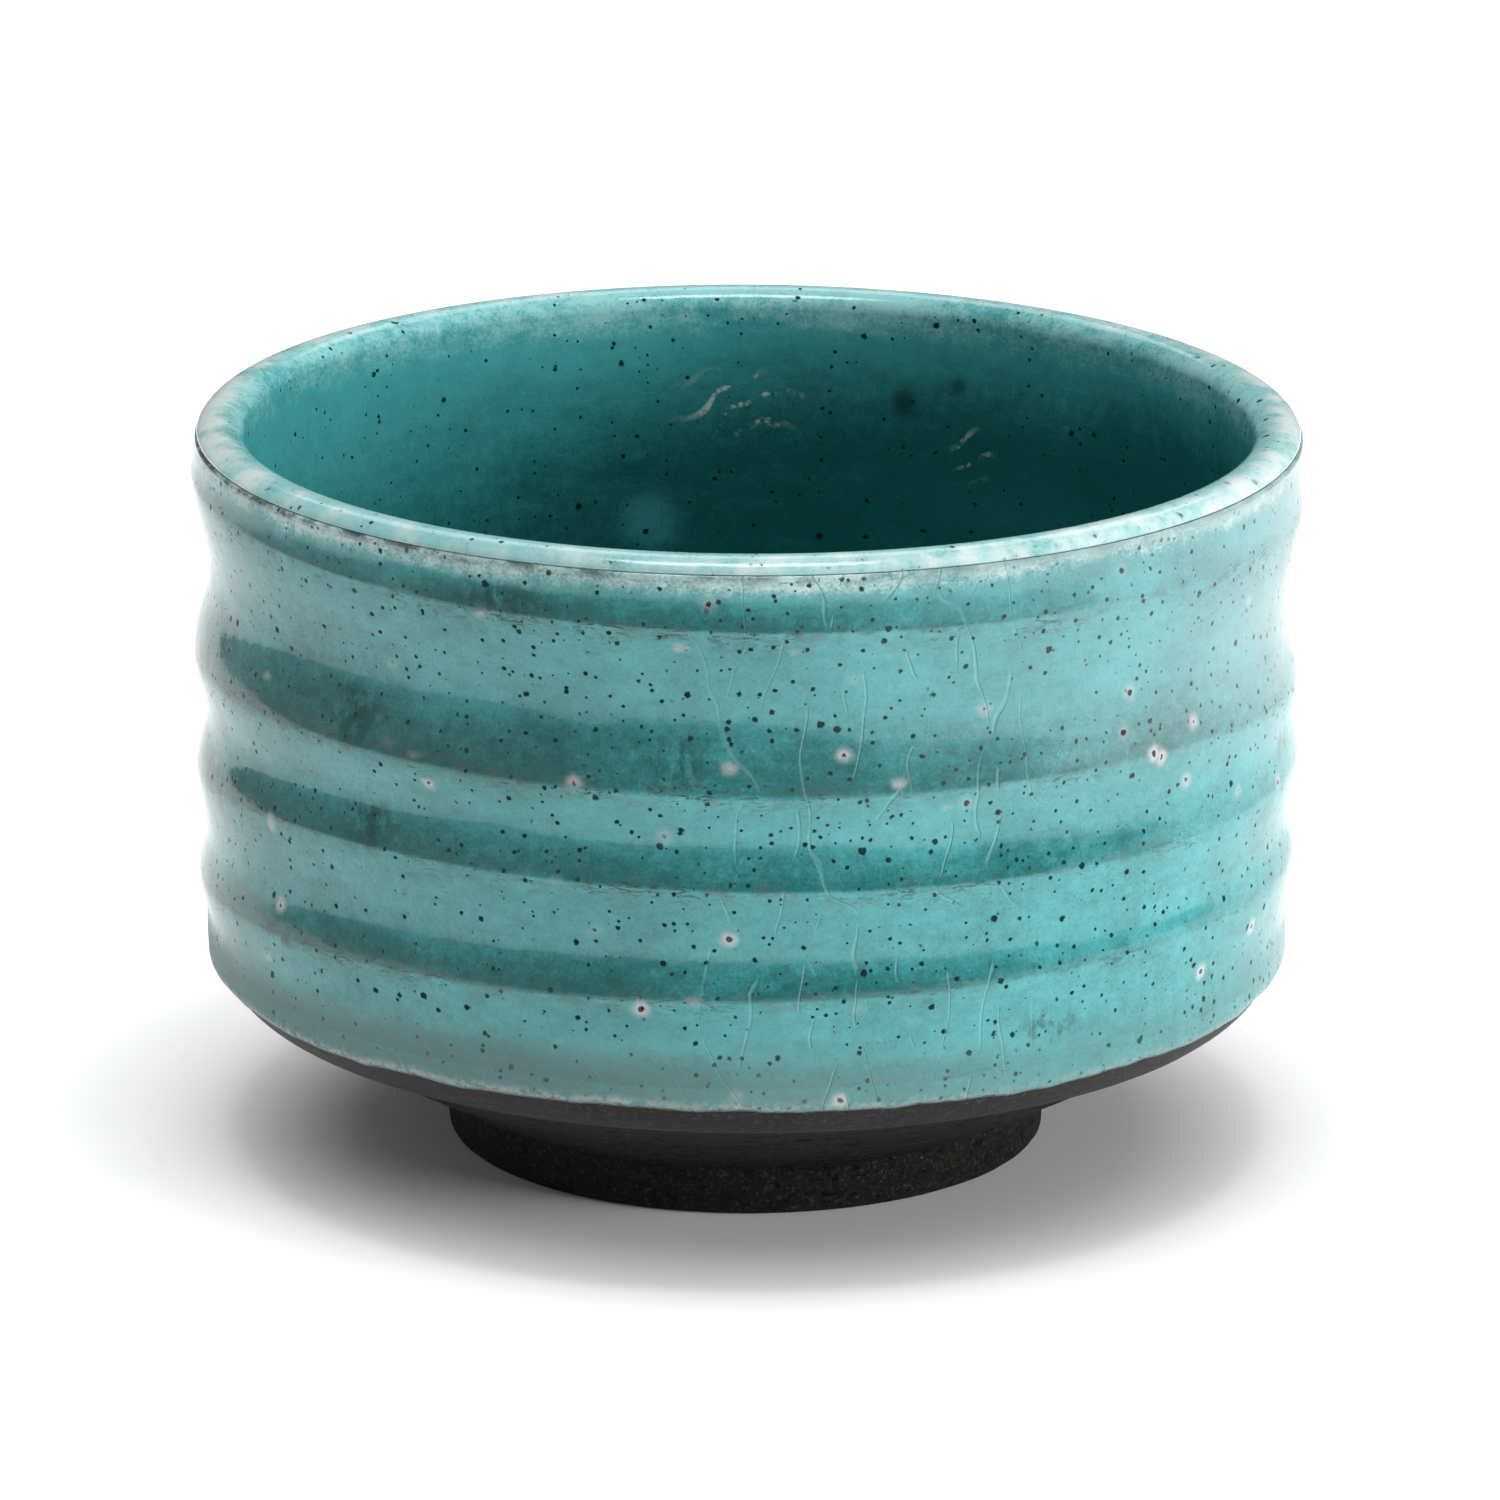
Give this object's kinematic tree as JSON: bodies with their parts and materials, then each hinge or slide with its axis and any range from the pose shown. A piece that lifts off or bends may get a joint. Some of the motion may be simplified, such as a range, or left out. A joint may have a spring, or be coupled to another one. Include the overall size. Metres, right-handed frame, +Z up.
{
  "type": "matcha bowl",
  "caption": "Straight-sided thrown stoneware tea bowl with soft throwing rings, a rounded lip and a low foot ring, glazed inside and out down to a bare clay underside.",
  "frame": {"origin": "centre of the foot ring's resting face, on the table", "axes": "+Z up along the bowl's turning axis; the bowl is round, so +X and +Y are any two level directions"},
  "size_m": [0.12, 0.12, 0.08],
  "materials": {
    "stoneware": "matte dark brown-black fired clay, smooth at the corner and rough with pale grog where it was trimmed",
    "outer_glaze": "glossy turquoise glaze, deep teal where it pools in the grooves and milky where it runs thin, with iron specks, pinholes and fine craze lines",
    "inner_glaze": "glossy deep teal glaze, smooth, paler where it thins over the lip"
  },
  "bodies": {
    "root": {"clay_body": "stoneware", "foot_ring": "stoneware", "outer_glaze": "outer_glaze", "inner_glaze": "inner_glaze"}
  },
  "joints": []
}
